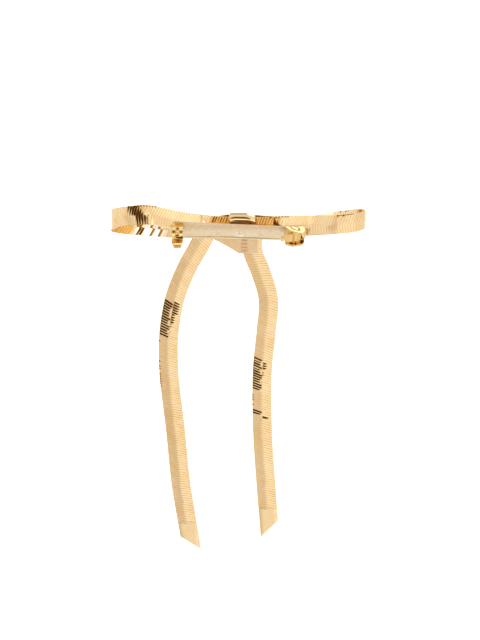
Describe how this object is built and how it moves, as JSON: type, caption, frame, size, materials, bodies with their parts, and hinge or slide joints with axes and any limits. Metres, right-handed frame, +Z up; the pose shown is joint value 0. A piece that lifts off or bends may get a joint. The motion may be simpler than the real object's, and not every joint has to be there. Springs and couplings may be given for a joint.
{
  "type": "bow hair pin",
  "caption": "Long-tailed bow of flat herringbone chain on a bar pin with a hinged stem and a rollover safety catch, worn on hair or cloth.",
  "frame": {"origin": "centre of the bar plate's back face, where the cloth or hair lies", "axes": "+Z up as worn, +Y from the wearer out through the front of the bow, +X along the bar from the catch to the hinge"},
  "size_m": [0.0779, 0.0187, 0.116],
  "materials": {
    "chain_gold": "polished pale gold plate over brass chain, herringbone links",
    "tip_gold": "polished pale gold plate, soldered solid and ground to a slant",
    "knot_gold": "polished pale gold plate over brass",
    "plate_gold": "pale gold plate, stamped and lightly tumbled",
    "fitting_gold": "bright yellow gold plate, polished",
    "stem_gold": "bright drawn wire, gold plated"
  },
  "bodies": {
    "brooch": {"bar_plate": "plate_gold", "backing_plate": "plate_gold", "centre_rivet": "fitting_gold", "left_rivet": "fitting_gold", "right_rivet": "fitting_gold", "ribbed_tab": "plate_gold", "catch_body": "fitting_gold", "hinge_bracket": "fitting_gold", "hinge_pin": "fitting_gold", "knot_wrap": "knot_gold", "knot_core": "knot_gold", "left_loop": "chain_gold", "right_loop": "chain_gold", "left_tail_root": "chain_gold", "right_tail_root": "chain_gold"},
    "pin": {"pin_knuckle": "fitting_gold", "pin_stem": "stem_gold"},
    "safety_sleeve": {"catch_sleeve": "fitting_gold"},
    "left_tail": {"left_tail_upper": "chain_gold"},
    "left_tail_end": {"left_tail_lower": "chain_gold", "left_tail_tip": "tip_gold"},
    "right_tail": {"right_tail_upper": "chain_gold"},
    "right_tail_end": {"right_tail_lower": "chain_gold", "right_tail_tip": "tip_gold"}
  },
  "joints": [
    {"name": "pin_swing", "type": "hinge", "parent": "brooch", "child": "pin", "pos_m": [0.0169, -0.0037, 0.0004], "axis": [0, 0, 1], "range_deg": [0, 80]},
    {"name": "sleeve_turn", "type": "hinge", "parent": "brooch", "child": "safety_sleeve", "pos_m": [-0.0185, -0.005, -0.00045], "axis": [-1, 0, 0], "range_deg": [0, 85]},
    {"name": "left_tail_swing", "type": "hinge", "parent": "brooch", "child": "left_tail", "pos_m": [-0.0109, 0.0022, -0.00356], "axis": [0.9108, 0, -0.4128], "range_deg": [-20, 45]},
    {"name": "left_tail_bend", "type": "hinge", "parent": "left_tail", "child": "left_tail_end", "pos_m": [-0.02089, 0.0022, -0.0496], "axis": [0.9969, 0, 0.0783], "range_deg": [-45, 45]},
    {"name": "right_tail_swing", "type": "hinge", "parent": "brooch", "child": "right_tail", "pos_m": [0.00504, 0.0022, -0.00947], "axis": [0.9298, 0, 0.3681], "range_deg": [-20, 45]},
    {"name": "right_tail_bend", "type": "hinge", "parent": "right_tail", "child": "right_tail_end", "pos_m": [0.00805, 0.0022, -0.05668], "axis": [0.9997, 0, 0.0254], "range_deg": [-45, 45]}
  ]
}
